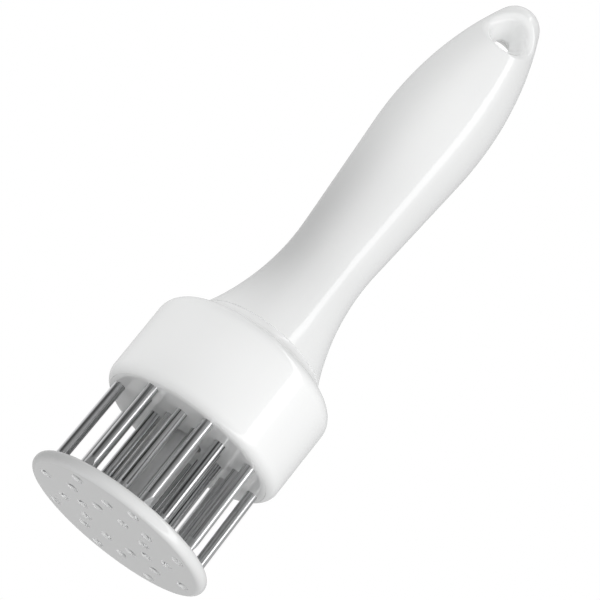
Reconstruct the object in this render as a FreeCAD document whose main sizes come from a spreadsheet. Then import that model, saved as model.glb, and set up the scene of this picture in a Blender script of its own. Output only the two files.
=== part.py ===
"""Needle meat tenderizer: a handle and a round head that carries three rings of blade-ground
needles, and a spring-loaded guard disc that slides up over them on a central stem.

Millimetres. +Z runs from the guard disc to the tip of the handle, the origin is the centre of
the guard's standing face, and -Y is the front, where the hanging hole faces the viewer.
"""
import FreeCAD, Part
import math
import os
import Sketcher

doc = FreeCAD.newDocument("MeatTenderizer")
sheet = doc.addObject("Spreadsheet::Sheet", "Sizes")

SIZES = {
    # The outline of the whole tool
    "overall_length": (203.2, "standing face of the guard to the tip of the handle"),
    "underside_height": (30.0, "standing face to the underside of the head, guard released"),
    "head_radius": (27.0, "outside of the head"),
    "head_height": (28.0, "underside to the top of the shoulder"),
    "head_corner": (3.5, "rounding of the lower edge of the head"),
    "side_lean": (0.35, "shoulder of the head beyond its lower edge"),
    "shoulder_corner": (4.6, "rounding of the shoulder"),
    "collar_radius": (19.25, "top of the flared collar on the shoulder"),
    "collar_height": (4.0, "shoulder to the seam between head and handle"),
    "collar_curve": (8.2, "radius of the hollow flare of the collar"),
    # The grip: neck and belly are arcs joined by their common tangent
    "foot_radius": (19.2, "foot of the handle at the seam"),
    "neck_radius": (12.2, "narrowest place of the handle"),
    "neck_curve": (80.0, "radius of the curve above the narrowest place"),
    "neck_to_belly": (55.9, "narrowest to widest place of the grip"),
    "belly_radius": (15.9, "widest place of the grip"),
    "belly_drop": (52.3, "tip of the handle to the widest place"),
    "belly_curve": (133.5, "radius of the long curve over the grip"),
    "seam_chamfer": (0.15, "break of the edges at the seam"),
    "hanging_hole_radius": (2.5, "hanging hole"),
    "hanging_hole_drop": (15.3, "tip of the handle to the axis of the hanging hole"),
    "hanging_hole_land": (0.5, "half the straight length of the hanging hole, at its middle"),
    "hanging_hole_lean": (30.0, "wall of the dishes from the axis of the hanging hole, degrees"),
    "hanging_hole_lip": (2.0, "rounding of the mouths of the hanging hole"),
    # The inside of the handle
    "spigot_radius": (15.0, "spigot of the handle inside the collar"),
    "spigot_end": (1.0, "ring nut to the lower end of the spigot"),
    "spigot_wall": (3.0, "wall of the spigot"),
    "spigot_bore_depth": (25.3, "depth of the wide bore in the spigot"),
    "relief_radius": (5.0, "core-out above the spring seat"),
    "relief_tip_gap": (37.2, "tip of the handle to the end of the core-out"),
    # The head shell
    "seat_wall": (2.0, "wall round the needle plate"),
    "shell_wall": (3.0, "wall above the plates"),
    "roof": (3.5, "roof of the head"),
    "roof_corner": (3.5, "rounding of the corner inside, under the roof"),
    "spigot_play": (0.1, "spigot in the collar, and ring nut on the spigot"),
    "bead": (0.4, "snap bead on the edge of the needle plate"),
    "bead_play": (0.1, "snap bead in its groove"),
    "bead_level": (2.4, "underside to the lower edge of the bead"),
    "bead_height": (1.2, "height of the bead"),
    # The plates
    "needle_plate": (5.0, "thickness of the needle plate"),
    "clamp_plate": (3.0, "thickness of the clamp plate"),
    "plate_play": (0.05, "plates in the head shell"),
    "stem_eye_gap": (0.7, "gap round the stem in the underside"),
    "stem_eye_depth": (2.0, "depth of that hole, below the bush"),
    # The needles
    "needle_radius": (1.6, "shank of a needle"),
    "needle_lip": (0.5, "head of a needle beyond its shank"),
    "needle_head": (1.5, "height of the head"),
    "needle_play": (0.03, "shank in the needle plate"),
    "needle_head_play": (0.1, "head in its seat"),
    "blade_length": (6.6, "ground length of the tip"),
    "blade_edge": (0.12, "half the width of the ground edge"),
    "blade_turn": (35.0, "turn of the edge from the radius, degrees"),
    "tip_shelter": (0.2, "standing face to the needle tips, guard released"),
    "outer_ring_inset": (4.8, "edge of the head to the outer ring of needles"),
    "inner_ring_gap": (4.85, "guide bush to the inner ring of needles"),
    "ring_turn": (3.8, "turn of the outer and inner rings, degrees"),
    # The guard
    "guard_thickness": (3.5, "guard disc"),
    "guard_edge": (0.3, "straight edge of the disc between its roundings"),
    "guard_play": (0.12, "needles in the guard"),
    "peg_radius": (2.1, "peg of the disc inside the stem"),
    "peg_height": (8.0, "peg of the disc inside the stem"),
    "peg_floor": (1.5, "material under the pilot hole in the peg"),
    # The stem and its stop
    "stem_radius": (4.0, "outside of the stem"),
    "peg_play": (0.1, "peg in the stem"),
    "stem_play": (0.05, "running fit of the stem in the bush"),
    "buffer": (1.0, "thickness of the buffer washer"),
    "rest_gap": (0.1, "buffer washer to the bush, guard released"),
    "slider_radius": (6.3, "slider on top of the stem"),
    "slider_height": (8.0, "slider"),
    "slider_play": (0.1, "running fit of the slider in the sleeve"),
    "slider_socket": (3.0, "depth of the stem in the slider"),
    "slider_floor_play": (0.05, "stem in the socket of the slider"),
    "screw_radius": (1.4, "long screw through the stem"),
    "screw_play": (0.1, "long screw in its holes"),
    "screw_head_radius": (2.8, "head of the long screw"),
    "screw_head": (2.0, "height of that head"),
    "slot_width": (0.8, "slots of the screws"),
    "slot_depth": (0.9, "slots of the screws"),
    # The bush, the sleeve and the spring
    "bush_wall": (1.45, "wall of the guide bush"),
    "bush_play": (0.05, "bush in the plates"),
    "flange_lip": (1.5, "flange of the guide bush beyond its wall"),
    "flange_height": (1.0, "flange of the guide bush"),
    "sleeve_wall": (1.4, "wall of the guide sleeve"),
    "sleeve_height": (58.0, "clamp plate to the spring seat"),
    "sleeve_flange": (2.0, "thickness of the foot flange of the sleeve"),
    "sleeve_play": (0.1, "sleeve in the handle"),
    "seat_thickness": (1.2, "spring seat"),
    "seat_bore": (2.5, "spring seat"),
    "spring_radius": (5.0, "return spring, to the middle of the wire"),
    "wire_radius": (0.5, "wire of the return spring"),
    "spring_gap": (0.05, "ends of the spring to their seats"),
    # The ring nut and the small screws
    "nut_radius": (19.5, "ring nut"),
    "nut_height": (5.5, "ring nut"),
    "nut_notch": (2.0, "half the width of the notches in the ring nut"),
    "nut_notch_depth": (1.8, "notches in the ring nut"),
    "plate_screw_turn": (11.25, "turn of the plate screws from the outer needles, degrees"),
    "plate_screw_radius": (1.2, "plate screws"),
    "plate_screw_reach": (6.0, "length of the plate screws"),
    "sleeve_screw_radius": (0.9, "sleeve screws"),
    "sleeve_screw_end": (0.4, "ends of the sleeve screws to the needle plate"),
    "small_head_radius": (1.9, "heads of the small screws"),
    "small_head": (1.4, "heads of the small screws"),
    "small_head_room": (0.2, "room beside the heads of the sleeve screws"),
    "small_screw_play": (0.1, "small screws in their holes"),
}

NEEDLES_PER_RING = 8
PLATE_SCREWS = 4
SLEEVE_SCREWS = 3
NUT_NOTCHES = 6
SPRING_TURNS = 13


class Size:
    """A length with its present value and the sheet expression that it comes from."""

    def __init__(self, value, text):
        self.value = value
        self.text = text

    def joined(self, other, sign, value):
        return Size(value, "(%s %s %s)" % (self.text, sign, as_size(other).text))

    def __add__(self, other):
        return self.joined(other, "+", self.value + as_size(other).value)

    def __sub__(self, other):
        return self.joined(other, "-", self.value - as_size(other).value)

    def __mul__(self, other):
        return self.joined(other, "*", self.value * as_size(other).value)

    def __truediv__(self, other):
        return self.joined(other, "/", self.value / as_size(other).value)

    def cos(self):
        return Size(math.cos(math.radians(self.value)), "cos(%s)" % self.text)

    def sin(self):
        return Size(math.sin(math.radians(self.value)), "sin(%s)" % self.text)


def as_size(number):
    if isinstance(number, Size):
        return number
    return Size(float(number), repr(float(number)))


def fill_sheet():
    """Writes every driving size into the sheet, with its name and what it measures."""
    for row, (alias, (value, meaning)) in enumerate(SIZES.items(), start=1):
        sheet.set("A%d" % row, alias)
        sheet.set("B%d" % row, repr(value))
        sheet.setAlias("B%d" % row, alias)
        sheet.set("C%d" % row, meaning)
    doc.recompute()


fill_sheet()


def size(alias):
    return Size(float(sheet.get(alias)), "Sizes.%s" % alias)


ZERO = as_size(0)


# Levels and radii that several pieces share
underside = size("underside_height")
head_top = underside + size("head_height")
seam = head_top + size("collar_height")
plate_top = underside + size("needle_plate")
clamp_top = plate_top + size("clamp_plate")
seat_radius = size("head_radius") - size("seat_wall")
plate_radius = seat_radius - size("plate_play")
roof_bottom = head_top - size("roof")
nut_bottom = roof_bottom - size("nut_height")
bush_bore = size("stem_radius") + size("stem_play")
bush_radius = bush_bore + size("bush_wall")
bush_hole = bush_radius + size("bush_play")
flange_radius = bush_radius + size("flange_lip")
sleeve_bore = size("slider_radius") + size("slider_play")
sleeve_radius = sleeve_bore + size("sleeve_wall")
sleeve_top = clamp_top + size("sleeve_height")
sleeve_screw_ring = sleeve_radius + size("small_head_room") + size("small_head_radius")
sleeve_flange_radius = sleeve_screw_ring + size("small_head_radius") + size("small_head_room")
seat_top = sleeve_top + size("seat_thickness")
slider_bottom = clamp_top + size("rest_gap") + size("buffer")
slider_top = slider_bottom + size("slider_height")
stem_top = slider_bottom + size("slider_socket")
outer_ring = size("head_radius") - size("outer_ring_inset")
inner_ring = bush_radius + size("inner_ring_gap")
middle_ring = (outer_ring + inner_ring) / 2
plate_screw_ring = (outer_ring + middle_ring) / 2
plate_screw_angle = size("ring_turn") + size("plate_screw_turn")
needle_head_radius = size("needle_radius") + size("needle_lip")


# Drawing helpers
def new_body(label):
    body = doc.addObject("PartDesign::Body", label)
    body.Label = label
    return body


def origin_plane(body, role):
    return next(face for face in body.Origin.OriginFeatures if face.Role == role)


def new_sketch(body, role, name, height=ZERO, turn=ZERO):
    """A sketch on one of the body's origin planes, raised by height and turned about its normal."""
    sketch = body.newObject("Sketcher::SketchObject", "%s_%s" % (body.Name, name))
    sketch.AttachmentSupport = [(origin_plane(body, role), "")]
    sketch.MapMode = "FlatFace"
    bind(sketch, "AttachmentOffset.Base.z", height)
    bind(sketch, "AttachmentOffset.Rotation.Angle", turn)
    return sketch


def bind(thing, path, length):
    """Ties one property to its expression."""
    thing.setExpression(path, length.text)


def pin_point(sketch, shape, end, x, y):
    """Holds one point of a sketch at x and y, on an axis where the value is ZERO."""
    for length, kind, axis in ((x, "DistanceX", -2), (y, "DistanceY", -1)):
        if length is ZERO:
            sketch.addConstraint(Sketcher.Constraint("PointOnObject", shape, end, axis))
        else:
            set_distance(sketch, kind, (-1, 1), (shape, end), length)


def set_distance(sketch, kind, start, end, length):
    """Ties the distance along one axis from the point start to the point end."""
    if length.value < 0:
        start, end, length = end, start, ZERO - length
    number = sketch.addConstraint(Sketcher.Constraint(kind, *start, *end, length.value))
    bind(sketch, "Constraints[%d]" % number, length)


def place(x, y):
    return FreeCAD.Vector(x.value, y.value, 0)


def set_radius(sketch, shape, radius):
    number = sketch.addConstraint(Sketcher.Constraint("Radius", shape, radius.value))
    bind(sketch, "Constraints[%d]" % number, radius)


def arc_between(start, end, radius, turns_left):
    """The short arc from start to end, and whether it runs against its own direction."""
    middle = (start + end) * 0.5
    half = (end - start) * 0.5
    rise = math.sqrt(max(radius * radius - half.Length * half.Length, 0.0))
    side = FreeCAD.Vector(-half.y, half.x, 0).normalize()
    centre = middle + side * (rise if turns_left else -rise)
    first, last = (start, end) if turns_left else (end, start)
    begin = math.atan2(first.y - centre.y, first.x - centre.x)
    finish = math.atan2(last.y - centre.y, last.x - centre.x)
    circle = Part.Circle(centre, FreeCAD.Vector(0, 0, 1), radius)
    return Part.ArcOfCircle(circle, begin, finish if finish > begin else finish + 2 * math.pi)


def outline(sketch, corners, arcs=None):
    """A closed outline through corners; arcs maps a side's number to its radius and direction."""
    arcs = arcs or {}
    points = [place(x, y) for x, y in corners]
    ends = []
    for number, start in enumerate(points):
        end = points[(number + 1) % len(points)]
        if number in arcs:
            radius, turns_left = arcs[number]
            side = sketch.addGeometry(arc_between(start, end, radius.value, turns_left))
            set_radius(sketch, side, radius)
            ends.append((side, 1, 2) if turns_left else (side, 2, 1))
        else:
            ends.append((sketch.addGeometry(Part.LineSegment(start, end)), 1, 2))
    for number, (side, begin, finish) in enumerate(ends):
        before = ends[number - 1]
        sketch.addConstraint(Sketcher.Constraint("Coincident", before[0], before[2], side, begin))
        pin_point(sketch, side, begin, *corners[number])


def turned(body, corners, arcs=None):
    """A turned solid about Z from an outline in the XZ plane."""
    sketch = new_sketch(body, "XZ_Plane", "section")
    outline(sketch, corners, arcs)
    solid = body.newObject("PartDesign::Revolution", body.Name + "_turned")
    solid.Profile = sketch
    solid.ReferenceAxis = (sketch, ["V_Axis"])
    solid.Angle = 360
    doc.recompute()
    return solid


def ring(body, inner, outer, bottom, top):
    """A plain turned ring."""
    return turned(body, [(inner, bottom), (outer, bottom), (outer, top), (inner, top)])


def drilled(body, name, distance, radius, bottom, depth, turn):
    """A round hole at a distance from the axis, from the level bottom upwards."""
    sketch = new_sketch(body, "XY_Plane", name, bottom, turn)
    centre = FreeCAD.Vector(distance.value, 0, 0)
    hole = sketch.addGeometry(Part.Circle(centre, FreeCAD.Vector(0, 0, 1), radius.value))
    pin_point(sketch, hole, 3, distance, ZERO)
    set_radius(sketch, hole, radius)
    pocket = body.newObject("PartDesign::Pocket", "%s_%s_cut" % (body.Name, name))
    pocket.Profile = sketch
    pocket.Type = "Length"
    pocket.Reversed = True
    bind(pocket, "Length", depth)
    return pocket


def repeated(body, name, features, copies):
    """The same cuts, evenly spaced about Z."""
    pattern = body.newObject("PartDesign::PolarPattern", "%s_%s_pattern" % (body.Name, name))
    pattern.Originals = features
    pattern.Axis = (features[0].Profile[0], ["N_Axis"])
    pattern.Angle = 360
    pattern.Occurrences = copies
    body.Tip = pattern
    doc.recompute()
    return pattern


def needle_rings():
    """Each ring's name, radius and turn; the middle one stands half a step further round."""
    half_step = 180.0 / NEEDLES_PER_RING
    turn = size("ring_turn")
    return [
        ("outer", outer_ring, turn),
        ("middle", middle_ring, turn + half_step),
        ("inner", inner_ring, turn),
    ]


# The guard, which slides
def make_guard_disc():
    """Disc as wide as the head, with a hole for each needle and a peg that stands in the stem."""
    body = new_body("guard_disc")
    radius = size("head_radius")
    top = size("guard_thickness")
    corner = (top - size("guard_edge")) / 2
    pilot = size("screw_radius") + size("screw_play") / 2
    peg_top = top + size("peg_height")
    turned(
        body,
        [
            (ZERO, ZERO),
            (radius - corner, ZERO),
            (radius, corner),
            (radius, top - corner),
            (radius - corner, top),
            (size("peg_radius"), top),
            (size("peg_radius"), peg_top),
            (pilot, peg_top),
            (pilot, size("peg_floor")),
            (ZERO, size("peg_floor")),
        ],
        {1: (corner, True), 3: (corner, True)},
    )
    hole = size("needle_radius") + size("guard_play")
    for name, distance, turn in needle_rings():
        cut = drilled(body, name, distance, hole, ZERO, top, turn)
        repeated(body, name, [cut], NEEDLES_PER_RING)
    return body


def make_stem_tube():
    """Tube between the guard disc and the slider."""
    body = new_body("stem_tube")
    bore = size("peg_radius") + size("peg_play")
    ring(body, bore, size("stem_radius"), size("guard_thickness"), stem_top)
    return body


def make_slider_collar():
    """Piston on top of the stem, guided in the sleeve; the spring pushes on it."""
    body = new_body("slider_collar")
    hole = size("screw_radius") + size("screw_play")
    socket = size("stem_radius") + size("slider_floor_play")
    outer = size("slider_radius")
    turned(
        body,
        [
            (socket, slider_bottom),
            (outer, slider_bottom),
            (outer, slider_top),
            (hole, slider_top),
            (hole, stem_top),
            (socket, stem_top),
        ],
    )
    return body


def make_buffer_washer():
    """Rubber washer under the slider, which takes the blow when the guard springs back."""
    body = new_body("buffer_washer")
    inner = size("stem_radius") + size("slider_floor_play")
    outer = size("slider_radius") - size("slider_play")
    ring(body, inner, outer, slider_bottom - size("buffer"), slider_bottom)
    return body


def slotted(body, top, reach):
    """A screwdriver slot across the top of a screw on the Z axis."""
    sketch = new_sketch(body, "XY_Plane", "slot", top)
    half = size("slot_width") / 2
    left = ZERO - reach
    front = ZERO - half
    outline(sketch, [(left, front), (reach, front), (reach, half), (left, half)])
    pocket = body.newObject("PartDesign::Pocket", body.Name + "_slot_cut")
    pocket.Profile = sketch
    bind(pocket, "Length", size("slot_depth"))
    doc.recompute()


def make_stem_screw():
    """Long screw that holds slider, stem and disc together."""
    body = new_body("stem_screw")
    shank = size("screw_radius")
    head = size("screw_head_radius")
    top = slider_top + size("screw_head")
    low = size("peg_floor") + size("screw_play")
    corners = [(ZERO, low), (shank, low), (shank, slider_top), (head, slider_top)]
    turned(body, corners + [(head, top), (ZERO, top)])
    slotted(body, top, head)
    return body


# The head, its plates and the needles
def make_needle_plate():
    """Plate that closes the head from below: the needles hang in its counterbored holes."""
    body = new_body("needle_plate")
    corner = size("head_corner")
    flat = size("head_radius") - corner
    run = plate_radius - flat
    rise = corner - corner_rise(corner, run)
    eye = size("stem_radius") + size("stem_eye_gap")
    eye_top = underside + size("stem_eye_depth")
    bead_low = underside + size("bead_level")
    bead_high = bead_low + size("bead_height")
    bead = plate_radius + size("bead")
    turned(
        body,
        [
            (eye, underside),
            (flat, underside),
            (plate_radius, underside + rise),
            (plate_radius, bead_low),
            (bead, bead_low + size("bead")),
            (bead, bead_high),
            (plate_radius, bead_high),
            (plate_radius, plate_top),
            (bush_hole, plate_top),
            (bush_hole, eye_top),
            (eye, eye_top),
        ],
        {1: (corner, True)},
    )
    shank = size("needle_radius") + size("needle_play")
    head = needle_head_radius + size("needle_head_play")
    head_seat = plate_top - size("needle_head")
    for name, distance, turn in needle_rings():
        through = drilled(body, name, distance, shank, underside, size("needle_plate"), turn)
        seat = drilled(
            body, name + "_seat", distance, head, head_seat, size("needle_head"), turn
        )
        repeated(body, name, [through, seat], NEEDLES_PER_RING)
    depth = size("plate_screw_reach") - size("clamp_plate") + size("small_screw_play")
    pilot = size("plate_screw_radius") + size("small_screw_play") / 2
    hole = drilled(
        body, "pilot", plate_screw_ring, pilot, plate_top - depth, depth, plate_screw_angle
    )
    repeated(body, "pilot", [hole], PLATE_SCREWS)
    return body


def corner_rise(corner, run):
    """Height, below the corner's centre, of the point of its arc that lies run outwards."""
    value = math.sqrt(corner.value ** 2 - run.value ** 2)
    return Size(value, "sqrt(%s * %s - %s * %s)" % (corner.text, corner.text, run.text, run.text))


def make_clamp_plate():
    """Plate over the needle heads, with a recess for the flange of the bush."""
    body = new_body("clamp_plate")
    flange = flange_radius + size("bush_play")
    recess = clamp_top - size("flange_height")
    turned(
        body,
        [
            (bush_hole, plate_top),
            (plate_radius, plate_top),
            (plate_radius, clamp_top),
            (flange, clamp_top),
            (flange, recess),
            (bush_hole, recess),
        ],
    )
    hole = size("plate_screw_radius") + size("small_screw_play")
    thickness = size("clamp_plate")
    screws = drilled(
        body, "screws", plate_screw_ring, hole, plate_top, thickness, plate_screw_angle
    )
    repeated(body, "screws", [screws], PLATE_SCREWS)
    pilot = size("sleeve_screw_radius") + size("small_screw_play") / 2
    sleeve = drilled(
        body, "sleeve", sleeve_screw_ring, pilot, plate_top, thickness, size("ring_turn")
    )
    repeated(body, "sleeve", [sleeve], SLEEVE_SCREWS)
    return body


def make_needle(ring_name, number, distance, angle):
    """Headed needle whose lower end is ground from both sides to a straight blade."""
    body = new_body("needle_%s_%d" % (ring_name, number))
    shank = size("needle_radius")
    head = needle_head_radius
    tip = size("tip_shelter")
    head_bottom = plate_top - size("needle_head")
    turned(
        body,
        [
            (ZERO, tip),
            (shank, tip),
            (shank, head_bottom),
            (head, head_bottom),
            (head, plate_top),
            (ZERO, plate_top),
        ],
    )
    edge = size("blade_edge")
    outside = shank + edge
    low = tip - edge
    high = tip + size("blade_length")
    for side, way in (("left", -1), ("right", 1)):
        sketch = new_sketch(body, "XZ_Plane", side + "_bevel")
        outline(sketch, [(edge * way, low), (outside * way, low), (outside * way, high)])
        cut = body.newObject("PartDesign::Pocket", "%s_%s_cut" % (body.Name, side))
        cut.Profile = sketch
        cut.SideType = "Symmetric"
        bind(cut, "Length", shank * 3)
    doc.recompute()
    bind(body, "Placement.Base.x", distance * angle.cos())
    bind(body, "Placement.Base.y", distance * angle.sin())
    bind(body, "Placement.Rotation.Angle", angle + size("blade_turn"))
    return body


def make_needles():
    """All three rings of needles."""
    needles = []
    for ring_name, distance, turn in needle_rings():
        for number in range(NEEDLES_PER_RING):
            angle = turn + 360.0 / NEEDLES_PER_RING * number
            needles.append(make_needle(ring_name, number + 1, distance, angle))
    return needles


def make_head_shell():
    """Round housing, open below, with a roof and a collar that takes the handle."""
    body = new_body("head_shell")
    radius = size("head_radius")
    corner = size("head_corner")
    shoulder = size("shoulder_corner")
    broad = radius + size("side_lean")
    collar = size("collar_radius")
    inner = radius - size("shell_wall")
    inside_corner = size("roof_corner")
    neck = size("spigot_radius") + size("spigot_play")
    rise = corner - corner_rise(corner, seat_radius - radius + corner)
    groove = plate_radius + size("bead") + size("bead_play")
    bead_low = underside + size("bead_level")
    groove_low = bead_low - size("bead_play")
    groove_high = bead_low + size("bead_height") + size("bead_play")
    turned(
        body,
        [
            (seat_radius, underside + rise),
            (radius, underside + corner),
            (broad, head_top - shoulder),
            (broad - shoulder, head_top),
            (collar, seam - size("seam_chamfer")),
            (collar - size("seam_chamfer"), seam),
            (neck, seam),
            (neck, roof_bottom),
            (inner - inside_corner, roof_bottom),
            (inner, roof_bottom - inside_corner),
            (inner, clamp_top),
            (seat_radius, clamp_top),
            (seat_radius, groove_high),
            (groove, groove_high),
            (groove, groove_low + size("bead")),
            (seat_radius, groove_low),
        ],
        {
            0: (corner, True),
            2: (shoulder, True),
            3: (size("collar_curve"), False),
            8: (inside_corner, False),
        },
    )
    return body


def make_ring_nut():
    """Nut under the roof that draws the handle down onto the collar."""
    body = new_body("ring_nut")
    inner = size("spigot_radius") + size("spigot_play")
    outer = size("nut_radius")
    ring(body, inner, outer, nut_bottom, roof_bottom)
    notch = drilled(
        body, "notch", outer, size("nut_notch"), nut_bottom, size("nut_notch_depth"), ZERO
    )
    repeated(body, "notch", [notch], NUT_NOTCHES)
    return body


# The guide and the spring
def make_guide_bush():
    """Flanged bush in both plates, in which the stem runs."""
    body = new_body("guide_bush")
    flange_bottom = clamp_top - size("flange_height")
    bottom = underside + size("stem_eye_depth")
    turned(
        body,
        [
            (bush_bore, bottom),
            (bush_radius, bottom),
            (bush_radius, flange_bottom),
            (flange_radius, flange_bottom),
            (flange_radius, clamp_top),
            (bush_bore, clamp_top),
        ],
    )
    return body


def make_guide_sleeve():
    """Flanged tube from the clamp plate into the neck, in which the slider and spring move."""
    body = new_body("guide_sleeve")
    flange_top = clamp_top + size("sleeve_flange")
    turned(
        body,
        [
            (sleeve_bore, clamp_top),
            (sleeve_flange_radius, clamp_top),
            (sleeve_flange_radius, flange_top),
            (sleeve_radius, flange_top),
            (sleeve_radius, sleeve_top),
            (sleeve_bore, sleeve_top),
        ],
    )
    hole = size("sleeve_screw_radius") + size("small_screw_play")
    screws = drilled(
        body,
        "screws",
        sleeve_screw_ring,
        hole,
        clamp_top,
        size("sleeve_flange"),
        size("ring_turn"),
    )
    repeated(body, "screws", [screws], SLEEVE_SCREWS)
    return body


def make_spring_seat():
    """Washer between the sleeve and the shoulder in the handle; the spring pushes up on it."""
    body = new_body("spring_seat")
    ring(body, size("seat_bore"), sleeve_radius, sleeve_top, seat_top)
    return body


def make_return_spring():
    """Compression spring between the slider and the spring seat."""
    body = new_body("return_spring")
    wire = size("wire_radius")
    low = slider_top + wire + size("spring_gap")
    high = sleeve_top - wire - size("spring_gap")
    sketch = new_sketch(body, "XZ_Plane", "wire")
    centre = FreeCAD.Vector(size("spring_radius").value, low.value, 0)
    circle = sketch.addGeometry(Part.Circle(centre, FreeCAD.Vector(0, 0, 1), wire.value))
    pin_point(sketch, circle, 3, size("spring_radius"), low)
    set_radius(sketch, circle, wire)
    coil = body.newObject("PartDesign::AdditiveHelix", "return_spring_coil")
    coil.Profile = sketch
    coil.ReferenceAxis = (sketch, ["V_Axis"])
    coil.Mode = "height-turns-angle"
    coil.Angle = 0
    coil.Growth = 0
    coil.Turns = SPRING_TURNS
    bind(coil, "Height", high - low)
    doc.recompute()
    return body


# The handle
def make_handle_grip():
    """Hollow grip: a spigot below the seam, a neck, a belly and a round tip."""
    body = new_body("handle_grip")
    sketch = new_sketch(body, "XZ_Plane", "section")
    draw_grip(sketch)
    solid = body.newObject("PartDesign::Revolution", "handle_grip_turned")
    solid.Profile = sketch
    solid.ReferenceAxis = (sketch, ["V_Axis"])
    solid.Angle = 360
    doc.recompute()
    cut_hanging_hole(body, solid)
    return body


def draw_grip(sketch):
    """Half section of the grip: straight inside steps, and outside arcs that touch smoothly."""
    foot = size("foot_radius")
    chamfer = size("seam_chamfer")
    foot_level = seam + chamfer
    spigot_low = nut_bottom - size("spigot_end")
    spigot_bore = size("spigot_radius") - size("spigot_wall")
    bore_top = spigot_low + size("spigot_bore_depth")
    sleeve_hole = sleeve_radius + size("sleeve_play")
    relief = size("relief_radius")
    relief_top = size("overall_length") - size("relief_tip_gap")
    straight = [
        (ZERO, size("overall_length")),
        (ZERO, relief_top),
        (relief, relief_top - relief),
        (relief, seat_top),
        (sleeve_hole, seat_top),
        (sleeve_hole, bore_top),
        (spigot_bore, bore_top - spigot_bore + sleeve_hole),
        (spigot_bore, spigot_low),
        (size("spigot_radius"), spigot_low),
        (size("spigot_radius"), seam),
        (foot - chamfer, seam),
        (foot, foot_level),
    ]
    lines = []
    for start, end in zip(straight, straight[1:]):
        line = sketch.addGeometry(Part.LineSegment(place(*start), place(*end)))
        pin_point(sketch, line, 1, *start)
        if lines:
            sketch.addConstraint(Sketcher.Constraint("Coincident", lines[-1], 2, line, 1))
        lines.append(line)
    pin_point(sketch, lines[-1], 2, *straight[-1])
    draw_grip_curves(sketch, lines[-1], lines[0], foot_level)


def draw_grip_curves(sketch, foot_line, top_line, foot_level):
    """Foot arc, neck arc, straight flank, belly arc and tip arc, each tangent to the next."""
    length = size("overall_length")
    neck = size("neck_radius")
    neck_curve = size("neck_curve")
    belly_curve = size("belly_curve")
    belly_drop = size("belly_drop")
    belly_level = length - belly_drop
    neck_level = belly_level - size("neck_to_belly")
    belly_inset = belly_curve - size("belly_radius")
    foot_curve = upright_radius(neck_level - foot_level, size("foot_radius") - neck)
    reach = belly_curve * belly_curve - belly_inset * belly_inset - belly_drop * belly_drop
    tip_radius = reach / ((belly_curve - belly_drop) * 2)

    foot_centre = place(neck + foot_curve, neck_level)
    neck_centre = place(neck + neck_curve, neck_level)
    belly_centre = place(ZERO - belly_inset, belly_level)
    tip_centre = place(ZERO, length - tip_radius)
    foot_end = place(size("foot_radius"), foot_level) - foot_centre
    span = neck_centre - belly_centre
    lean = math.asin((neck_curve.value + belly_curve.value) / span.Length)
    flank = math.atan2(-span.y, span.x) + lean - math.pi / 2
    flank_way = FreeCAD.Vector(math.cos(flank), -math.sin(flank), 0)
    tip_way = tip_centre - belly_centre
    tip_angle = math.atan2(tip_way.y, tip_way.x)

    upright = math.pi
    foot_angle = math.atan2(foot_end.y, foot_end.x) + 2 * math.pi
    foot_arc = draw_arc(sketch, foot_centre, foot_curve, upright, foot_angle)
    neck_arc = draw_arc(sketch, neck_centre, neck_curve, upright - flank, upright)
    flank_line = sketch.addGeometry(
        Part.LineSegment(
            neck_centre - flank_way * neck_curve.value,
            belly_centre + flank_way * belly_curve.value,
        )
    )
    belly_arc = draw_arc(sketch, belly_centre, belly_curve, -flank, tip_angle)
    tip_arc = draw_arc(sketch, tip_centre, tip_radius, tip_angle, math.pi / 2)

    add = sketch.addConstraint
    add(Sketcher.Constraint("Coincident", foot_line, 2, foot_arc, 2))
    add(Sketcher.Constraint("Tangent", foot_arc, 1, neck_arc, 2))
    add(Sketcher.Constraint("Tangent", neck_arc, 1, flank_line, 1))
    add(Sketcher.Constraint("Tangent", flank_line, 2, belly_arc, 1))
    add(Sketcher.Constraint("Tangent", belly_arc, 2, tip_arc, 1))
    add(Sketcher.Constraint("Coincident", tip_arc, 2, top_line, 1))
    add(Sketcher.Constraint("PointOnObject", tip_arc, 3, -2))
    set_radius(sketch, neck_arc, neck_curve)
    set_radius(sketch, belly_arc, belly_curve)
    pin_point(sketch, neck_arc, 3, neck + neck_curve, neck_level)
    set_distance(sketch, "DistanceY", (-1, 1), (neck_arc, 2), neck_level)
    pin_point(sketch, belly_arc, 3, ZERO - belly_inset, belly_level)


def upright_radius(rise, step):
    """Radius of the arc that climbs by rise, comes in by step and ends upright."""
    return (rise * rise + step * step) / (step * 2)


def draw_arc(sketch, centre, radius, begin, finish):
    circle = Part.Circle(centre, FreeCAD.Vector(0, 0, 1), radius.value)
    return sketch.addGeometry(Part.ArcOfCircle(circle, begin, finish))


def cut_hanging_hole(body, solid):
    """Through hole from front to back near the tip, with a deep round dish on either side."""
    sketch = new_sketch(body, "YZ_Plane", "hanging_hole")
    level = size("overall_length") - size("hanging_hole_drop")
    bind(sketch, "AttachmentOffset.Base.y", level)
    radius = size("hanging_hole_radius")
    land = size("hanging_hole_land")
    lean = size("hanging_hole_lean")
    reach = size("belly_radius")
    mouth = radius + (reach - land) * lean.sin() / lean.cos()
    outline(
        sketch,
        [
            (ZERO - reach, ZERO),
            (reach, ZERO),
            (reach, mouth),
            (land, radius),
            (ZERO - land, radius),
            (ZERO - reach, mouth),
        ],
    )
    hole = body.newObject("PartDesign::Groove", "handle_grip_hanging_hole_cut")
    hole.Profile = sketch
    hole.ReferenceAxis = (sketch, ["H_Axis"])
    hole.Angle = 360
    doc.recompute()
    mouths = hole_mouths(hole.Shape, radius.value)
    lip = body.newObject("PartDesign::Fillet", "handle_grip_lip")
    lip.Base = (hole, mouths)
    bind(lip, "Radius", size("hanging_hole_lip"))
    doc.recompute()


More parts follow.
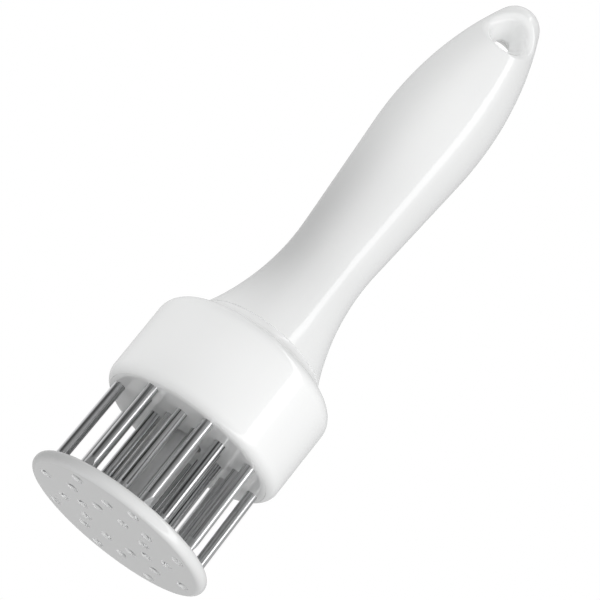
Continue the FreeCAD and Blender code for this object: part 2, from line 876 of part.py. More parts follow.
def hole_mouths(shape, radius):
    """The edges where the dishes of the hanging hole meet the outside, front and back."""
    names = []
    for number, edge in enumerate(shape.Edges, start=1):
        box = edge.BoundBox
        if box.YMin > radius or box.YMax < -radius:
            names.append("Edge%d" % number)
    return names


# Screws in groups
def small_screw(name, radius, reach, seat, distance, angle):
    """One slotted pan-head screw, head up, standing on the level seat."""
    shank = doc.addObject("Part::Cylinder", name + "_shank")
    bind(shank, "Radius", radius)
    bind(shank, "Height", reach)
    bind(shank, "Placement.Base.z", seat - reach)
    head = doc.addObject("Part::Cylinder", name + "_head")
    bind(head, "Radius", size("small_head_radius"))
    bind(head, "Height", size("small_head"))
    bind(head, "Placement.Base.z", seat)
    blank = doc.addObject("Part::Fuse", name + "_blank")
    blank.Base = shank
    blank.Tool = head
    slot = doc.addObject("Part::Box", name + "_slot")
    bind(slot, "Length", size("small_head_radius") * 2)
    bind(slot, "Width", size("slot_width"))
    bind(slot, "Height", size("slot_depth"))
    bind(slot, "Placement.Base.x", ZERO - size("small_head_radius"))
    bind(slot, "Placement.Base.y", ZERO - size("slot_width") / 2)
    bind(slot, "Placement.Base.z", seat + size("small_head") - size("slot_depth"))
    screw = doc.addObject("Part::Cut", name)
    screw.Base = blank
    screw.Tool = slot
    bind(screw, "Placement.Base.x", distance * angle.cos())
    bind(screw, "Placement.Base.y", distance * angle.sin())
    return screw


def screw_group(label, copies, distance, turn, radius, reach, seat):
    """Like screws on one circle, kept as one group of separate solids."""
    screws = []
    for number in range(copies):
        angle = turn + 360.0 / copies * number
        name = "%s_%d" % (label, number + 1)
        screws.append(small_screw(name, radius, reach, seat, distance, angle))
    group = doc.addObject("Part::Compound", label)
    group.Label = label
    group.Links = screws
    doc.recompute()
    return group


def make_plate_screws():
    """Screws that hold the clamp plate on the needle plate."""
    return screw_group(
        "plate_screws",
        PLATE_SCREWS,
        plate_screw_ring,
        plate_screw_angle,
        size("plate_screw_radius"),
        size("plate_screw_reach"),
        clamp_top,
    )


def make_sleeve_screws():
    """Screws that hold the flange of the sleeve on the clamp plate."""
    return screw_group(
        "sleeve_screws",
        SLEEVE_SCREWS,
        sleeve_screw_ring,
        size("ring_turn"),
        size("sleeve_screw_radius"),
        size("sleeve_flange") + size("clamp_plate") - size("sleeve_screw_end"),
        clamp_top + size("sleeve_flange"),
    )


def check_document(pieces):
    """Stops before anything is written if a feature failed or a piece isn't sound."""
    doc.recompute()
    for thing in doc.Objects:
        if {"Invalid", "Error"} & set(thing.State):
            raise RuntimeError("%s failed: %s" % (thing.Name, thing.State))
    for piece in pieces:
        if piece.Shape.isNull() or not piece.Shape.isValid() or not piece.Shape.Solids:
            raise RuntimeError("%s has no sound solid" % piece.Label)


def write_parts(pieces):
    os.makedirs("parts", exist_ok=True)
    for piece in pieces:
        piece.Shape.exportStep("parts/%s.step" % piece.Label)
        box = piece.Shape.BoundBox
        print("%-18s %9.1f mm3  z %.2f to %.2f" % (piece.Label, piece.Shape.Volume, box.ZMin, box.ZMax))


def main():
    pieces = [
        make_handle_grip(),
        make_head_shell(),
        make_ring_nut(),
        make_needle_plate(),
        make_clamp_plate(),
        make_plate_screws(),
        make_guide_bush(),
        make_guide_sleeve(),
        make_sleeve_screws(),
        make_spring_seat(),
        make_return_spring(),
        make_guard_disc(),
        make_stem_tube(),
        make_slider_collar(),
        make_buffer_washer(),
        make_stem_screw(),
    ]
    pieces += make_needles()
    check_document(pieces)
    write_parts(pieces)


main()
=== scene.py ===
import math

import bpy
from bpy.props import FloatProperty, FloatVectorProperty, IntProperty, PointerProperty
from bpy.types import Operator, Panel, PropertyGroup
from mathutils import Matrix, Vector


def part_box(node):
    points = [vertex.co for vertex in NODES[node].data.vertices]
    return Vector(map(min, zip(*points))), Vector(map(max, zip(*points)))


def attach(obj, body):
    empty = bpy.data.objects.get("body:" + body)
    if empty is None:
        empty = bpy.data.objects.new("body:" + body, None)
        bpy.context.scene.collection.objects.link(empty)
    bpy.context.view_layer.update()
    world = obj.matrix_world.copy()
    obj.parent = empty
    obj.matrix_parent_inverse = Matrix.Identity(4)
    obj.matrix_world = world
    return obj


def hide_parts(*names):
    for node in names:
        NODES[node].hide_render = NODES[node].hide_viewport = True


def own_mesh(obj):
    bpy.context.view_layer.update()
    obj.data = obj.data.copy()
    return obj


bl_info = {
    "name": "Needle Meat Tenderizer",
    "version": (1, 0, 0),
    "blender": (4, 5, 0),
    "location": "3D View > Sidebar > Tenderizer",
    "description": "Finishes, return spring, studio and camera for the meat tenderizer",
    "category": "Add Mesh",
}

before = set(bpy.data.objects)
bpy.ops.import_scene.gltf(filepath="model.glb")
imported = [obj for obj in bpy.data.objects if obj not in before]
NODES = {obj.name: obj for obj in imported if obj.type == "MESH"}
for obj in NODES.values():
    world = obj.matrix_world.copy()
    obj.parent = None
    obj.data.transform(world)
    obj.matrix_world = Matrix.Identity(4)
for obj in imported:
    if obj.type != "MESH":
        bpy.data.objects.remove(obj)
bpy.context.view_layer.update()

SPRING_LOW, SPRING_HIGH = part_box("return_spring")
GROUND_TOP = 0.0068  # level where the ground tips of the needles end
GROUND_EDGE = 0.0003  # height over which the satin of the tips turns into the polish
HOLES_WITHIN = 0.0246  # radius inside which the guard disc has its needle holes
PAINTED_HOLE_GLOW = 0.1  # painted glow: emission strength on the walls of those holes, lightening their shade
UPRIGHT = 0.5  # a wall is upright when its normal rises less than this

# Noise keeps mostly between these two values
NOISE_LOW = 0.3
NOISE_HIGH = 0.7

# Sockets of a colour Mix node, whose names each stand for several sockets
MIX_COLOUR_A = 6
MIX_COLOUR_B = 7
MIX_COLOUR_RESULT = 2


# Node graph helpers
def new_material(name):
    """An empty node material and its node tree."""
    material = bpy.data.materials.new(name)
    material.use_nodes = True
    tree = material.node_tree
    tree.nodes.clear()
    return material, tree


def add_node(tree, kind, place, **settings):
    """A node of the given kind; settings are its own properties."""
    node = tree.nodes.new(kind)
    node.location = place
    for name, value in settings.items():
        setattr(node, name, value)
    return node


def noise(tree, coordinates, place, scale, detail=3.0, stretch=(1, 1, 1)):
    """Noise over the object's own coordinates, which stretch can draw out along an axis."""
    mapping = add_node(tree, "ShaderNodeMapping", (place[0] - 200, place[1]))
    mapping.inputs["Scale"].default_value = stretch
    texture = add_node(tree, "ShaderNodeTexNoise", place)
    texture.inputs["Scale"].default_value = scale
    texture.inputs["Detail"].default_value = detail
    tree.links.new(coordinates, mapping.inputs["Vector"])
    tree.links.new(mapping.outputs["Vector"], texture.inputs["Vector"])
    return texture.outputs["Fac"]


def ramp(tree, value, place, stops):
    """Colour ramp through stops of (position, colour)."""
    node = add_node(tree, "ShaderNodeValToRGB", place)
    elements = node.color_ramp.elements
    while len(elements) < len(stops):
        elements.new(0.5)
    for element, (position, colour) in zip(elements, stops):
        element.position = position
        element.color = (*colour, 1)
    tree.links.new(value, node.inputs["Fac"])
    return node.outputs["Color"]


def span(tree, value, place, low, high):
    """Maps a noise value onto the range from low to high."""
    node = add_node(tree, "ShaderNodeMapRange", place)
    node.inputs["From Min"].default_value = NOISE_LOW
    node.inputs["From Max"].default_value = NOISE_HIGH
    node.inputs["To Min"].default_value = low
    node.inputs["To Max"].default_value = high
    tree.links.new(value, node.inputs["Value"])
    return node.outputs["Result"]


def bump(tree, height, place, depth, before=None):
    """Bump of the given depth in metres, on top of an earlier one."""
    node = add_node(tree, "ShaderNodeBump", place)
    node.inputs["Distance"].default_value = depth
    tree.links.new(height, node.inputs["Height"])
    if before:
        tree.links.new(before, node.inputs["Normal"])
    return node.outputs["Normal"]


def principled(tree, place=(300, 0), **sockets):
    """Principled shader wired to the output, with plain numbers set on its own sockets."""
    shader = add_node(tree, "ShaderNodeBsdfPrincipled", place)
    for name, value in sockets.items():
        shader.inputs[name.replace("_", " ")].default_value = value
    output = add_node(tree, "ShaderNodeOutputMaterial", (place[0] + 300, place[1]))
    tree.links.new(shader.outputs["BSDF"], output.inputs["Surface"])
    return shader


def around(colour, share):
    """The colour made lighter or darker by a share."""
    return tuple(min(1.0, part * (1 + share)) for part in colour)


def shades(colour, low, high):
    """Stops of a ramp over noise, from one shade of the colour to another."""
    return [(NOISE_LOW, around(colour, low)), (NOISE_HIGH, around(colour, high))]


def moulded_plastic(name, colour, roughness, grain, cloud=0.01, **sockets):
    """Moulded plastic: faint clouds in the colour, uneven gloss and a fine skin."""
    material, tree = new_material(name)
    where = add_node(tree, "ShaderNodeTexCoord", (-900, 0)).outputs["Object"]
    clouds = noise(tree, where, (-500, 250), 35.0)
    gloss = noise(tree, where, (-500, 0), 140.0, 5.0)
    skin = noise(tree, where, (-500, -250), 900.0, 2.0)
    flow = noise(tree, where, (-500, -500), 60.0, 1.0, (1, 1, 0.25))
    shader = principled(tree, **sockets)
    tint = ramp(tree, clouds, (-250, 250), shades(colour, -cloud, cloud))
    tree.links.new(tint, shader.inputs["Base Color"])
    rough = span(tree, gloss, (-250, 0), roughness * 0.85, roughness * 1.15)
    tree.links.new(rough, shader.inputs["Roughness"])
    waves = bump(tree, flow, (-250, -500), grain * 4)
    tree.links.new(bump(tree, skin, (-50, -250), grain, waves), shader.inputs["Normal"])
    return material


def drawn_metal(name, colour, roughness, grain):
    """Metal with fine marks and a little unevenness in the gloss."""
    material, tree = new_material(name)
    where = add_node(tree, "ShaderNodeTexCoord", (-900, 0)).outputs["Object"]
    clouds = noise(tree, where, (-500, 250), 120.0, 2.0)
    marks = noise(tree, where, (-500, 0), 2500.0, 4.0)
    shader = principled(tree, Metallic=1.0)
    tint = ramp(tree, clouds, (-250, 250), shades(colour, -0.05, 0.04))
    tree.links.new(tint, shader.inputs["Base Color"])
    rough = span(tree, marks, (-250, 0), roughness * 0.7, roughness * 1.3)
    tree.links.new(rough, shader.inputs["Roughness"])
    tree.links.new(bump(tree, marks, (-50, -250), grain), shader.inputs["Normal"])
    return material


# How the noise on a needle is drawn out, and where its dark lines, painted reflections of the
# neighbouring needles, are dark and where they end
ALONG_NEEDLE = (1, 1, 0.01)
ACROSS_NEEDLE = (1, 1, 4)
PAINTED_REFLECTION_STOPS = (0.38, 0.49)


def ground_steel(name, colour, roughness, ground_roughness, painted_reflection_depth):
    """Polished wire with dark lines along it that are painted reflections of the neighbouring
    needles; its ground tips are satin and paler.
    """
    material, tree = new_material(name)
    where = add_node(tree, "ShaderNodeTexCoord", (-1100, 0)).outputs["Object"]
    parts = add_node(tree, "ShaderNodeSeparateXYZ", (-900, 400))
    tree.links.new(where, parts.inputs["Vector"])
    shank = add_node(tree, "ShaderNodeMapRange", (-700, 400))
    shank.inputs["From Min"].default_value = GROUND_TOP - GROUND_EDGE
    shank.inputs["From Max"].default_value = GROUND_TOP
    tree.links.new(parts.outputs["Z"], shank.inputs["Value"])
    polished = shank.outputs["Result"]
    marks = noise(tree, where, (-700, 0), 1100.0, 1.0, ALONG_NEEDLE)
    grinding = noise(tree, where, (-700, -300), 2200.0, 2.0, ACROSS_NEEDLE)
    painted_reflection_lines = noise(tree, where, (-700, 250), 2300.0, 2.0, ALONG_NEEDLE)
    shader = principled(tree, Metallic=1.0, Anisotropic=1.0, Anisotropic_Rotation=0.25)
    # Painted reflections: the dark stops darken thin lines along the needle, standing for the
    # neighbouring needles seen in it
    dark, plain = PAINTED_REFLECTION_STOPS
    stops = [
        (dark, around(colour, -painted_reflection_depth)),
        (plain, colour),
        (NOISE_HIGH, around(colour, 0.06)),
    ]
    tint = ramp(tree, painted_reflection_lines, (-450, 250), stops)
    pale = ramp(tree, grinding, (-450, 0), shades(colour, 0.12, 0.2))
    shade = add_node(tree, "ShaderNodeMix", (-150, 250), data_type="RGBA")
    tree.links.new(polished, shade.inputs["Factor"])
    tree.links.new(pale, shade.inputs[MIX_COLOUR_A])
    tree.links.new(tint, shade.inputs[MIX_COLOUR_B])
    tree.links.new(shade.outputs[MIX_COLOUR_RESULT], shader.inputs["Base Color"])
    smooth = span(tree, marks, (-450, -250), roughness * 0.96, roughness * 1.04)
    satin = span(tree, grinding, (-450, -500), ground_roughness * 0.8, ground_roughness * 1.2)
    gloss = add_node(tree, "ShaderNodeMix", (-150, -100), data_type="FLOAT")
    tree.links.new(polished, gloss.inputs["Factor"])
    tree.links.new(satin, gloss.inputs["A"])
    tree.links.new(smooth, gloss.inputs["B"])
    tree.links.new(gloss.outputs["Result"], shader.inputs["Roughness"])
    tree.links.new(bump(tree, marks, (0, -350), 0.0000002), shader.inputs["Normal"])
    return material


def paint_glow_in_holes(material):
    """Painted glow: a faint white emission on the upright walls of the needle holes, which
    lightens their shade.
    """
    tree = material.node_tree
    where = add_node(tree, "ShaderNodeTexCoord", (-900, -900))
    flat = add_node(tree, "ShaderNodeVectorMath", (-700, -800), operation="MULTIPLY")
    flat.inputs[1].default_value = (1, 1, 0)
    reach = add_node(tree, "ShaderNodeVectorMath", (-500, -800), operation="LENGTH")
    near = add_node(tree, "ShaderNodeMath", (-300, -800), operation="LESS_THAN")
    near.inputs[1].default_value = HOLES_WITHIN
    facing = add_node(tree, "ShaderNodeSeparateXYZ", (-700, -1050))
    steep = add_node(tree, "ShaderNodeMath", (-500, -1050), operation="ABSOLUTE")
    upright = add_node(tree, "ShaderNodeMath", (-300, -1050), operation="LESS_THAN")
    upright.inputs[1].default_value = UPRIGHT
    both = add_node(tree, "ShaderNodeMath", (-100, -900), operation="MULTIPLY")
    light = add_node(tree, "ShaderNodeMath", (100, -900), operation="MULTIPLY")
    light.inputs[1].default_value = PAINTED_HOLE_GLOW
    shader = tree.nodes["Principled BSDF"]
    # Painted glow: white emission on the hole walls near the axis, standing in for light in the
    # holes
    shader.inputs["Emission Color"].default_value = (1, 1, 1, 1)
    for start, end in (
        (where.outputs["Object"], flat.inputs[0]),
        (flat.outputs["Vector"], reach.inputs[0]),
        (reach.outputs["Value"], near.inputs[0]),
        (where.outputs["Normal"], facing.inputs["Vector"]),
        (facing.outputs["Z"], steep.inputs[0]),
        (steep.outputs["Value"], upright.inputs[0]),
        (near.outputs["Value"], both.inputs[0]),
        (upright.outputs["Value"], both.inputs[1]),
        (both.outputs["Value"], light.inputs[0]),
        (light.outputs["Value"], shader.inputs["Emission Strength"]),
    ):
        tree.links.new(start, end)


def wear(name, material):
    """Gives one CAD node its finish."""
    slots = NODES[name].data.materials
    slots.clear()
    slots.append(material)


# Sizes and colours that a user would change
class TenderizerFinish(PropertyGroup):
    shell_colour: FloatVectorProperty(
        name="Shell", description="White of the handle, head and guard", subtype="COLOR",
        default=(0.885, 0.89, 0.888), min=0, max=1,
    )
    shell_roughness: FloatProperty(
        name="Shell Roughness", description="Gloss of the white plastic", subtype="FACTOR",
        default=0.08, min=0, max=1,
    )
    stem_colour: FloatVectorProperty(
        name="Stem", description="Grey of the stem tube", subtype="COLOR",
        default=(0.76, 0.765, 0.765), min=0, max=1,
    )
    steel_colour: FloatVectorProperty(
        name="Steel", description="Colour of the polished needles", subtype="COLOR",
        default=(0.73, 0.735, 0.74), min=0, max=1,
    )
    steel_roughness: FloatProperty(
        name="Steel Roughness", description="Polish of the needles", subtype="FACTOR",
        default=0.29, min=0, max=1,
    )
    ground_roughness: FloatProperty(
        name="Ground Tip Roughness", description="Satin of the ground tips", subtype="FACTOR",
        default=0.5, min=0, max=1,
    )


class TenderizerSpring(PropertyGroup):
    turns: IntProperty(name="Turns", description="Turns of the return spring", default=13, min=3)
    dead_turns: FloatProperty(
        name="Closed Turns", description="Turns at each end that lie on each other", default=1.0,
    )
    wire: FloatProperty(
        name="Wire", description="Diameter of the spring wire", unit="LENGTH", subtype="DISTANCE",
        default=0.001,
    )


class TenderizerStudio(PropertyGroup):
    focal_length: FloatProperty(
        name="Focal Length", description="Lens on a 36 mm sensor", unit="CAMERA", default=92.6,
    )
    camera_distance: FloatProperty(
        name="Distance", description="Camera to the aim point", unit="LENGTH", default=0.4202,
    )
    aim_height: FloatProperty(
        name="Aim Height", description="Height of the aim point", unit="LENGTH", default=0.0813,
    )
    aim_side: FloatProperty(
        name="Aim Offset", description="Aim point to the right of the axis", unit="LENGTH",
        default=0.00028,
    )
    camera_drop: FloatProperty(
        name="Camera Drop", description="Angle of the camera below the level", unit="ROTATION",
        subtype="ANGLE", default=math.radians(24.41),
    )
    camera_roll: FloatProperty(
        name="Camera Roll", description="Lean of the tool in the picture", unit="ROTATION",
        subtype="ANGLE", default=math.radians(38.7),
    )
    floor_radius: FloatProperty(
        name="Floor Radius", description="Pale floor under the tool", unit="LENGTH", default=3.0,
    )


# Finishes of the CAD pieces
WHITE_PIECES = ("handle_grip", "head_shell", "needle_plate")
INNER_PIECES = ("ring_nut", "clamp_plate", "guide_sleeve")
BEARING_PIECES = ("slider_collar", "guide_bush")
PLATED_PIECES = ("plate_screws", "sleeve_screws", "stem_screw", "spring_seat")

# Ring of needles: name of its steel, how much paler it is, how dark its painted reflection lines
# are; the darker inner copy is painted shade of the bunch and the paler outer copy painted light
OUTER_STEEL_PAINTED_LIGHT = ("Outer needle steel with painted light", 0.03, 0.4)
INNER_STEEL_PAINTED_SHADE = ("Inner needle steel with painted shade", -0.03, 0.8)


class TENDERIZER_OT_white_shell(Operator):
    """Gives the handle, head, needle plate and guard their glossy white plastic, with a painted
    glow in the guard's needle holes
    """

    bl_idname = "tenderizer.white_shell"
    bl_label = "White Shell"

    def execute(self, context):
        finish = context.scene.tenderizer_finish
        white, guard = (
            moulded_plastic(
                name, finish.shell_colour, finish.shell_roughness, grain=0.000004, IOR=1.49
            )
            for name in ("White plastic", "Guard plastic with painted glow")
        )
        for name in WHITE_PIECES:
            wear(name, white)
        # Paints a faint glow into the walls of the guard's needle holes
        paint_glow_in_holes(guard)
        wear("guard_disc", guard)
        return {"FINISHED"}


class TENDERIZER_OT_needles(Operator):
    """Gives the needles their polished steel, a paler copy on the outer ring and a darker one on
    the inner rings as painted shade, with painted reflections along each needle
    """

    bl_idname = "tenderizer.needles"
    bl_label = "Needles"

    def execute(self, context):
        finish = context.scene.tenderizer_finish
        needles = [name for name in NODES if name.startswith("needle_") and name != "needle_plate"]
        if not needles:
            raise RuntimeError("the packed model has no needles")
        # Each ring's steel is the finish's steel made paler or darker: the darker inner copy is
        # painted shade of the bunch, the paler outer copy painted light
        outer, inner = (
            ground_steel(
                name, around(finish.steel_colour, shade), finish.steel_roughness,
                finish.ground_roughness, painted_reflection_depth,
            )
            for name, shade, painted_reflection_depth in (OUTER_STEEL_PAINTED_LIGHT, INNER_STEEL_PAINTED_SHADE)
        )
        for name in needles:
            wear(name, outer if name.startswith("needle_outer") else inner)
        return {"FINISHED"}


class TENDERIZER_OT_stem(Operator):
    """Gives the stem tube its matte grey and the buffer its rubber"""

    bl_idname = "tenderizer.stem"
    bl_label = "Stem"

    def execute(self, context):
        finish = context.scene.tenderizer_finish
        matte = moulded_plastic(
            "Stem plastic", finish.stem_colour, roughness=0.45, grain=0.000006
        )
        wear("stem_tube", matte)
        rubber = moulded_plastic(
            "Buffer rubber", (0.03, 0.03, 0.03), roughness=0.7, grain=0.00002, cloud=0.15
        )
        wear("buffer_washer", rubber)
        return {"FINISHED"}


class TENDERIZER_OT_inner_parts(Operator):
    """Gives the pieces inside the head and handle their plastics and plated steel"""

    bl_idname = "tenderizer.inner_parts"
    bl_label = "Inner Parts"

    def execute(self, context):
        plain = moulded_plastic(
            "Inner plastic", (0.78, 0.78, 0.76), roughness=0.4, grain=0.00001
        )
        bearing = moulded_plastic(
            "Bearing plastic", (0.62, 0.62, 0.58), roughness=0.33, grain=0.000004
        )
        plated = drawn_metal("Plated steel", (0.6, 0.6, 0.58), roughness=0.3, grain=0.000004)
        for names, material in (
            (INNER_PIECES, plain),
            (BEARING_PIECES, bearing),
            (PLATED_PIECES, plated),
        ):
            for name in names:
                wear(name, material)
        return {"FINISHED"}


# The return spring, which on the tool shortens as the guard slides up; here it is wound once at
# the length of its CAD coil
WIRE_SIDES = 12
STEPS_IN_A_TURN = 32
SMOOTH_BELOW = math.radians(50)


class TENDERIZER_OT_return_spring(Operator):
    """Winds the return spring, with closed ends, in the place of its CAD coil"""

    bl_idname = "tenderizer.return_spring"
    bl_label = "Return Spring"

    def execute(self, context):
        sizes = context.scene.tenderizer_spring
        coil = drawn_metal("Coil wire", (0.5, 0.5, 0.5), roughness=0.25, grain=0.000002)
        wear("return_spring", coil)
        half_wire = sizes.wire / 2
        radius = SPRING_HIGH.x - half_wire
        low = SPRING_LOW.z + half_wire
        height = SPRING_HIGH.z - half_wire - low
        bpy.ops.object.select_all(action="DESELECT")
        bpy.ops.mesh.primitive_circle_add(
            vertices=WIRE_SIDES, radius=half_wire,
            location=(radius, 0, low), rotation=(math.pi / 2, 0, 0),
        )
        spring = context.object
        spring.name = "return_spring_coil"
        bpy.ops.object.transform_apply(location=True, rotation=True, scale=True)
        turn = spring.modifiers.new("Turns", "SCREW")
        turn.axis = "Z"
        turn.screw_offset = height / sizes.turns
        turn.iterations = sizes.turns
        turn.steps = STEPS_IN_A_TURN
        turn.render_steps = STEPS_IN_A_TURN
        bpy.ops.object.modifier_apply(modifier=turn.name)
        close_ends(spring, low, height, sizes)
        bpy.ops.object.mode_set(mode="EDIT")
        bpy.ops.mesh.select_all(action="SELECT")
        bpy.ops.mesh.remove_doubles(threshold=half_wire / 100)
        bpy.ops.mesh.select_all(action="DESELECT")
        bpy.ops.mesh.select_mode(type="EDGE")
        bpy.ops.mesh.select_non_manifold(extend=False)
        bpy.ops.mesh.edge_face_add()
        bpy.ops.mesh.select_all(action="SELECT")
        bpy.ops.mesh.normals_make_consistent(inside=False)
        bpy.ops.object.mode_set(mode="OBJECT")
        bpy.ops.object.shade_smooth_by_angle(angle=SMOOTH_BELOW)
        steel = drawn_metal("Spring wire", (0.55, 0.55, 0.55), roughness=0.22, grain=0.000002)
        spring.data.materials.append(steel)
        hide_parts("return_spring")
        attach(spring, "handle")
        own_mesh(spring)
        return {"FINISHED"}


def close_ends(spring, low, height, sizes):
    """Draws the first and last turns together until they touch."""
    steady = height / sizes.turns
    live = sizes.turns - 2 * sizes.dead_turns
    closed = sizes.dead_turns * sizes.wire
    pitch = (height - 2 * closed) / live
    for vertex in spring.data.vertices:
        angle = math.atan2(vertex.co.y, vertex.co.x) % (2 * math.pi) / (2 * math.pi)
        turned = round((vertex.co.z - low) / steady - angle) + angle
        offset = vertex.co.z - low - turned * steady
        if turned < sizes.dead_turns:
            level = turned * sizes.wire
        elif turned < sizes.turns - sizes.dead_turns:
            level = closed + (turned - sizes.dead_turns) * pitch
        else:
            level = height - (sizes.turns - turned) * sizes.wire
        vertex.co.z = low + level + offset


# Studio. Azimuth 0 is the front and 90 the right-hand side; angles in the tables are in degrees.
SOFT_LAMPS = (
    # azimuth, elevation, tightness of the lamp's edge, brightness
    (28, 1, 2.5, 1.85),
    (88, -52, 2.5, 0.2),
    (178, 25, 12.0, 1.85),
    (145, 14, 12.0, 2.1),
    (-82, -66, 12.0, 1.7),
    (-85, 66, 12.0, 1.25),
    (48, -14, 12.0, 1.3),
)

SPOTS = (
    # name, azimuth, elevation, level aimed at, distance, half-width lit, softness, watts
    ("Head spot left", -70, 3, 0.044, 0.40, 0.036, 0.6, 2.0),
    ("Head spot front", 42, 0, 0.044, 0.40, 0.036, 0.6, 0.75),
    ("Handle spot", -80, 6, 0.118, 0.60, 0.112, 0.25, 1.5),
    ("Grip spot", -50, 8, 0.180, 0.60, 0.078, 0.8, 2.8),
)
LAMP_SIZE = 0.015  # radius of the bulb of a spot

ROOM = (
    # azimuth, brightness of the room there in reflections
    (-180, 0.6),
    (-150, 0.8),
    (-125, 0.9),
    (-106, 0.7),
    (-90, 0.45),
    (-76, 0.2),
    (-66, 0.06),
    (-45, 0.06),
    (-36, 0.16),
    (-20, 0.25),
    (0, 0.34),
    (20, 0.42),
    (36, 0.6),
    (45, 0.8),
    (46.5, 3.6),
    (60, 3.6),
    (64, 1.3),
    (80, 0.6),
    (110, 0.5),
    (150, 0.5),
    (180, 0.6),
)
ROOM_PEAK = max(bright for _, bright in ROOM)

FLOOR_SIDES = 96
FLOOR_LEVEL = -0.0002  # a little below the guard disc
FLOOR_SHADES = (0.82, 0.84)


def aim(thing, place, target, up=Vector((0, 0, 1))):
    """Puts thing at place, looking at target."""
    back = (place - target).normalized()
    right = up.cross(back).normalized()
    axes = Matrix((right, back.cross(right), back)).transposed()
    thing.matrix_world = Matrix.Translation(place) @ axes.to_4x4()


def direction(azimuth, elevation):
    """Unit vector from the tool towards a place in the studio."""
    turn, rise = math.radians(azimuth), math.radians(elevation)
    return Vector((
        math.sin(turn) * math.cos(rise),
        -math.cos(turn) * math.cos(rise),
        math.sin(rise),
    ))


class TENDERIZER_OT_stage(Operator):
    """Sets the pale floor, the soft lights, the white surround and the camera"""

    bl_idname = "tenderizer.stage"
    bl_label = "Stage"

    def execute(self, context):
        studio = context.scene.tenderizer_studio
        context.scene.view_settings.view_transform = "Standard"
        set_camera(context, studio)
        set_world(context)
        set_spots(context)
        set_floor(context, studio)
        return {"FINISHED"}


def set_camera(context, studio):
    """The camera stands in front of the tool and below it, rolled so that the tool leans."""
    camera = bpy.data.objects.new("Camera", bpy.data.cameras.new("Camera"))
    context.scene.collection.objects.link(camera)
    camera.data.lens = studio.focal_length
    camera.data.clip_start = 0.01
    target = Vector((studio.aim_side, 0, studio.aim_height))
    drop = math.degrees(studio.camera_drop)
    place = target + direction(0, -drop) * studio.camera_distance
    aim(camera, place, target)
    camera.matrix_world = camera.matrix_world @ Matrix.Rotation(studio.camera_roll, 4, "Z")
    context.scene.camera = camera


def set_world(context):
    """White to the camera, soft grey to the plastic, and a striped room in reflections."""
    world = bpy.data.worlds.new("Studio")
    context.scene.world = world
    world.cycles.sampling_method = "NONE"
    world.use_nodes = True
    tree = world.node_tree
    tree.nodes.clear()
    where = add_node(tree, "ShaderNodeTexCoord", (-1200, 0)).outputs["Generated"]
    parts = add_node(tree, "ShaderNodeSeparateXYZ", (-1000, 0))
    tree.links.new(where, parts.inputs["Vector"])
    forward = add_node(tree, "ShaderNodeMath", (-820, -150), operation="MULTIPLY")
    forward.inputs[1].default_value = -1
    tree.links.new(parts.outputs["Y"], forward.inputs[0])
    turn = add_node(tree, "ShaderNodeMath", (-640, 0), operation="ARCTAN2")
    tree.links.new(parts.outputs["X"], turn.inputs[0])
    tree.links.new(forward.outputs[0], turn.inputs[1])
    share = add_node(tree, "ShaderNodeMapRange", (-460, 0))
    share.inputs["From Min"].default_value = -math.pi
    share.inputs["From Max"].default_value = math.pi
    tree.links.new(turn.outputs[0], share.inputs["Value"])
    room = ramp(tree, share.outputs["Result"], (-260, 0), room_stops())
    light_path = add_node(tree, "ShaderNodeLightPath", (-260, 400))
    output = add_node(tree, "ShaderNodeOutputWorld", (700, 0))
    surround = add_node(tree, "ShaderNodeBackground", (100, 150))
    tree.links.new(lamp_light(tree, where), surround.inputs["Strength"])
    reflected = add_node(tree, "ShaderNodeBackground", (100, -50))
    reflected.inputs["Strength"].default_value = ROOM_PEAK
    tree.links.new(room, reflected.inputs["Color"])
    seen = add_node(tree, "ShaderNodeBackground", (100, -200))
    seen.inputs["Color"].default_value = (1, 1, 1, 1)
    glossy = add_node(tree, "ShaderNodeMixShader", (300, 50))
    tree.links.new(light_path.outputs["Is Glossy Ray"], glossy.inputs[0])
    tree.links.new(surround.outputs[0], glossy.inputs[1])
    tree.links.new(reflected.outputs[0], glossy.inputs[2])
    camera = add_node(tree, "ShaderNodeMixShader", (500, 0))
    tree.links.new(light_path.outputs["Is Camera Ray"], camera.inputs[0])
    tree.links.new(glossy.outputs[0], camera.inputs[1])
    tree.links.new(seen.outputs[0], camera.inputs[2])
    tree.links.new(camera.outputs[0], output.inputs["Surface"])


def set_spots(context):
    """Spots that light the plastic but leave no glint on it."""
    for name, azimuth, elevation, level, distance, reach, softness, watts in SPOTS:
        lamp = bpy.data.lights.new(name, "SPOT")
        lamp.energy = watts
        lamp.spot_size = 2 * math.atan(reach / distance)
        lamp.spot_blend = softness
        lamp.shadow_soft_size = LAMP_SIZE
        spot = bpy.data.objects.new(name, lamp)
        context.scene.collection.objects.link(spot)
        target = Vector((0, 0, level))
        aim(spot, target + direction(azimuth, elevation) * distance, target)
        spot.visible_glossy = False


def lamp_light(tree, where):
    """Light of the soft lamps, each fading away from its own direction."""
    total = None
    for row, (azimuth, elevation, tightness, brightness) in enumerate(SOFT_LAMPS):
        high = 600 - 150 * row
        towards = add_node(tree, "ShaderNodeVectorMath", (-1000, high), operation="DOT_PRODUCT")
        tree.links.new(where, towards.inputs[0])
        towards.inputs[1].default_value = direction(azimuth, elevation)
        fade = add_node(tree, "ShaderNodeMath", (-820, high), operation="MULTIPLY_ADD")
        tree.links.new(towards.outputs["Value"], fade.inputs[0])
        fade.inputs[1].default_value = tightness
        fade.inputs[2].default_value = -tightness
        glow = add_node(tree, "ShaderNodeMath", (-640, high), operation="EXPONENT")
        tree.links.new(fade.outputs[0], glow.inputs[0])
        added = add_node(tree, "ShaderNodeMath", (-460, high), operation="MULTIPLY_ADD")
        tree.links.new(glow.outputs[0], added.inputs[0])
        added.inputs[1].default_value = brightness
        added.inputs[2].default_value = 0
        if total:
            tree.links.new(total, added.inputs[2])
        total = added.outputs[0]
    return total


def room_stops():
    """Stops of a ramp once round the room, from straight behind by the left."""
    return [((azimuth + 180) / 360, (bright / ROOM_PEAK,) * 3) for azimuth, bright in ROOM]


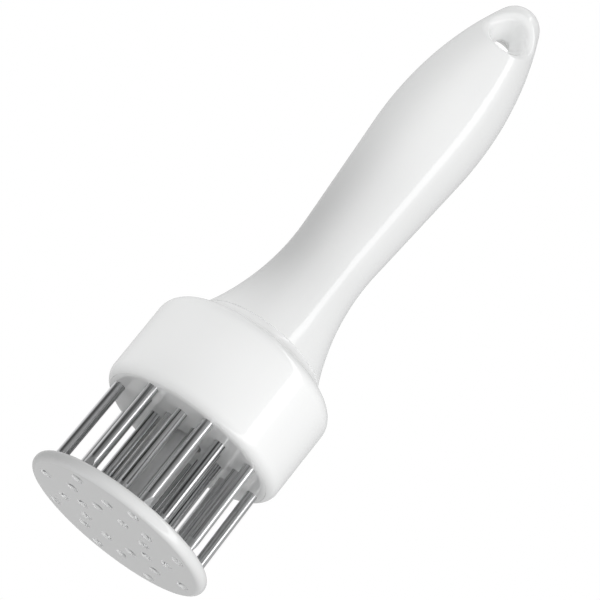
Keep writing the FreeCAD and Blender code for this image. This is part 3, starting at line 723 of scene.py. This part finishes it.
def set_floor(context, studio):
    """Round pale floor, seen from above only, so that the tool can be looked at from below."""
    bpy.ops.object.select_all(action="DESELECT")
    bpy.ops.mesh.primitive_circle_add(
        vertices=FLOOR_SIDES, radius=studio.floor_radius, fill_type="NGON",
        location=(0, 0, FLOOR_LEVEL),
    )
    floor = context.object
    floor.name = "Floor"
    bpy.ops.object.transform_apply(location=True, rotation=True, scale=True)
    material, tree = new_material("Pale floor")
    where = add_node(tree, "ShaderNodeTexCoord", (-700, 0)).outputs["Object"]
    paper = noise(tree, where, (-300, 100), 220.0)
    stops = [(at, (shade,) * 3) for at, shade in zip((NOISE_LOW, NOISE_HIGH), FLOOR_SHADES)]
    shade = ramp(tree, paper, (-100, 100), stops)
    pale = add_node(tree, "ShaderNodeBsdfDiffuse", (200, 100))
    tree.links.new(shade, pale.inputs["Color"])
    clear = add_node(tree, "ShaderNodeBsdfTransparent", (200, -50))
    side = add_node(tree, "ShaderNodeNewGeometry", (200, 300))
    mix = add_node(tree, "ShaderNodeMixShader", (400, 0))
    tree.links.new(side.outputs["Backfacing"], mix.inputs[0])
    tree.links.new(pale.outputs[0], mix.inputs[1])
    tree.links.new(clear.outputs[0], mix.inputs[2])
    output = add_node(tree, "ShaderNodeOutputMaterial", (600, 0))
    tree.links.new(mix.outputs[0], output.inputs["Surface"])
    floor.data.materials.append(material)
    floor.visible_shadow = False
    floor.visible_diffuse = False
    floor.visible_glossy = False
    floor.visible_transmission = False


STEPS = (
    TENDERIZER_OT_white_shell,
    TENDERIZER_OT_needles,
    TENDERIZER_OT_stem,
    TENDERIZER_OT_inner_parts,
    TENDERIZER_OT_return_spring,
    TENDERIZER_OT_stage,
)


class TENDERIZER_PT_sidebar(Panel):
    """Lists the steps and their sizes in the sidebar"""

    bl_label = "Meat Tenderizer"
    bl_idname = "TENDERIZER_PT_sidebar"
    bl_space_type = "VIEW_3D"
    bl_region_type = "UI"
    bl_category = "Tenderizer"

    def draw(self, context):
        layout = self.layout
        scene = context.scene
        for group in (scene.tenderizer_finish, scene.tenderizer_spring, scene.tenderizer_studio):
            box = layout.box()
            for name in group.__annotations__:
                box.prop(group, name)
        for step in STEPS:
            layout.operator(step.bl_idname)


GROUPS = {
    "tenderizer_finish": TenderizerFinish,
    "tenderizer_spring": TenderizerSpring,
    "tenderizer_studio": TenderizerStudio,
}


def register():
    for group in GROUPS.values():
        bpy.utils.register_class(group)
    for name, group in GROUPS.items():
        setattr(bpy.types.Scene, name, PointerProperty(type=group))
    for step in STEPS:
        bpy.utils.register_class(step)
    bpy.utils.register_class(TENDERIZER_PT_sidebar)


def unregister():
    bpy.utils.unregister_class(TENDERIZER_PT_sidebar)
    for step in reversed(STEPS):
        bpy.utils.unregister_class(step)
    for name, group in GROUPS.items():
        delattr(bpy.types.Scene, name)
        bpy.utils.unregister_class(group)


def main():
    register()
    bpy.ops.tenderizer.white_shell()
    bpy.ops.tenderizer.needles()
    bpy.ops.tenderizer.stem()
    bpy.ops.tenderizer.inner_parts()
    bpy.ops.tenderizer.return_spring()
    bpy.ops.tenderizer.stage()


if __name__ == "__main__":
    main()
